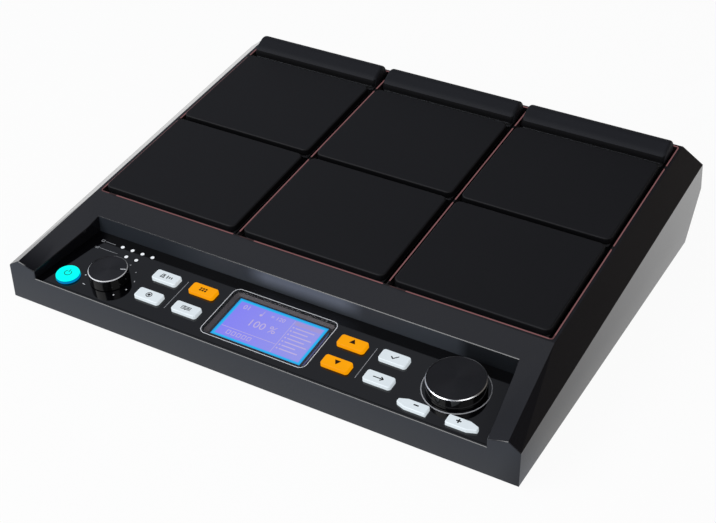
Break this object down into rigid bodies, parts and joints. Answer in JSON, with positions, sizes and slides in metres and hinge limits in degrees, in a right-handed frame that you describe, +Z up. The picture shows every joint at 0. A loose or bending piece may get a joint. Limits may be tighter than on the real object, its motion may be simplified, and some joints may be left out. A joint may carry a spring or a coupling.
{
  "type": "electronic percussion pad",
  "caption": "Black wedge-shaped electronic percussion pad with square rubber pads, raised bars, a red light guide, and a sunken glossy panel with buttons, dials and a lit display.",
  "frame": {"origin": "under the middle of the housing, on the surface the feet stand on", "axes": "+X to the player's right, +Y to the back edge with the sockets, +Z up"},
  "size_m": [0.38, 0.306, 0.0796],
  "materials": {
    "shell_plastic": "fine moulded grain, satin black",
    "cover_plastic": "moulded grain, black",
    "panel_plastic": "high-gloss black",
    "pad_rubber": "fine-grained black rubber",
    "guide_plastic": "translucent red, lit from below",
    "plate_aluminium": "rolled sheet",
    "foam": "soft closed-cell foam",
    "piezo_brass": "plain disc",
    "white_key": "translucent white, lit from below",
    "amber_key": "translucent amber, lit from below",
    "cyan_key": "translucent cyan, lit from below",
    "knob_plastic": "black with a bright-cut edge",
    "shaft_steel": "turned steel",
    "control_bodies": "moulded component bodies",
    "ring_metal": "thin bright ring",
    "window_glass": "clear acrylic",
    "frame_metal": "black pressed steel",
    "screen_glass": "lit blue display",
    "backlight_plastic": "light-spreading block",
    "board": "circuit board",
    "screw_steel": "blackened steel",
    "socket_plastic": "moulded socket body",
    "nut_chrome": "plated",
    "foot_rubber": "soft rubber",
    "insert_brass": "threaded insert"
  },
  "bodies": {
    "housing": {"top_shell": "shell_plastic", "bottom_cover": "cover_plastic", "control_panel": "panel_plastic", "light_guide": "guide_plastic", "pad_front_left": "pad_rubber", "pad_front_middle": "pad_rubber", "pad_front_right": "pad_rubber", "pad_back_left": "pad_rubber", "pad_back_middle": "pad_rubber", "pad_back_right": "pad_rubber", "bar_left": "pad_rubber", "bar_middle": "pad_rubber", "bar_right": "pad_rubber", "pad_plates": "plate_aluminium", "foam_sheets": "foam", "piezo_discs": "piezo_brass", "volume_pot": "control_bodies", "dial_encoder": "control_bodies", "dial_ring": "ring_metal", "display_window": "window_glass", "display_frame": "frame_metal", "display_glass": "screen_glass", "display_backlight": "backlight_plastic", "display_board": "board", "indicator_lenses": "white_key", "key_switches": "control_bodies", "panel_board": "board", "panel_screws": "screw_steel", "main_board": "board", "board_screws": "screw_steel", "jack_board": "board", "output_jack_left": "socket_plastic", "output_jack_right": "socket_plastic", "phones_jack": "socket_plastic", "trigger_jack": "socket_plastic", "footswitch_jack": "socket_plastic", "jack_nuts": "nut_chrome", "power_inlet": "socket_plastic", "usb_socket": "shaft_steel", "rubber_feet": "foot_rubber", "cover_screws": "screw_steel", "stand_inserts": "insert_brass"},
    "power": {"power_button": "cyan_key"},
    "metronome": {"metronome_button": "white_key"},
    "record": {"record_button": "white_key"},
    "kit": {"kit_button": "amber_key"},
    "setup": {"setup_button": "white_key"},
    "up": {"up_button": "amber_key"},
    "down": {"down_button": "amber_key"},
    "confirm": {"confirm_button": "white_key"},
    "select": {"select_button": "white_key"},
    "minus": {"minus_button": "white_key"},
    "plus": {"plus_button": "white_key"},
    "volume": {"volume_knob": "knob_plastic", "volume_shaft": "shaft_steel"},
    "dial": {"dial_knob": "knob_plastic", "dial_shaft": "shaft_steel"}
  },
  "joints": [
    {"name": "power_press", "type": "slide", "parent": "housing", "child": "power", "axis": [0, 0.0993, -0.9951], "range_m": [0, 0.0008], "stiffness_N_per_m": 250, "springref_m": -0.002},
    {"name": "metronome_press", "type": "slide", "parent": "housing", "child": "metronome", "axis": [0, 0.0993, -0.9951], "range_m": [0, 0.0008], "stiffness_N_per_m": 250, "springref_m": -0.002},
    {"name": "record_press", "type": "slide", "parent": "housing", "child": "record", "axis": [0, 0.0993, -0.9951], "range_m": [0, 0.0008], "stiffness_N_per_m": 250, "springref_m": -0.002},
    {"name": "kit_press", "type": "slide", "parent": "housing", "child": "kit", "axis": [0, 0.0993, -0.9951], "range_m": [0, 0.0008], "stiffness_N_per_m": 250, "springref_m": -0.002},
    {"name": "setup_press", "type": "slide", "parent": "housing", "child": "setup", "axis": [0, 0.0993, -0.9951], "range_m": [0, 0.0008], "stiffness_N_per_m": 250, "springref_m": -0.002},
    {"name": "up_press", "type": "slide", "parent": "housing", "child": "up", "axis": [0, 0.0993, -0.9951], "range_m": [0, 0.0008], "stiffness_N_per_m": 250, "springref_m": -0.002},
    {"name": "down_press", "type": "slide", "parent": "housing", "child": "down", "axis": [0, 0.0993, -0.9951], "range_m": [0, 0.0008], "stiffness_N_per_m": 250, "springref_m": -0.002},
    {"name": "confirm_press", "type": "slide", "parent": "housing", "child": "confirm", "axis": [0, 0.0993, -0.9951], "range_m": [0, 0.0008], "stiffness_N_per_m": 250, "springref_m": -0.002},
    {"name": "select_press", "type": "slide", "parent": "housing", "child": "select", "axis": [0, 0.0993, -0.9951], "range_m": [0, 0.0008], "stiffness_N_per_m": 250, "springref_m": -0.002},
    {"name": "minus_press", "type": "slide", "parent": "housing", "child": "minus", "axis": [0, 0.0993, -0.9951], "range_m": [0, 0.0008], "stiffness_N_per_m": 250, "springref_m": -0.002},
    {"name": "plus_press", "type": "slide", "parent": "housing", "child": "plus", "axis": [0, 0.0993, -0.9951], "range_m": [0, 0.0008], "stiffness_N_per_m": 250, "springref_m": -0.002},
    {"name": "volume_turn", "type": "hinge", "parent": "housing", "child": "volume", "pos_m": [-0.1226, -0.13001, 0.02769], "axis": [0, -0.0993, 0.9951], "range_deg": [-67, 203]},
    {"name": "dial_turn", "type": "hinge", "parent": "housing", "child": "dial", "pos_m": [0.1316, -0.11857, 0.02884], "axis": [0, -0.0993, 0.9951], "continuous": true}
  ]
}
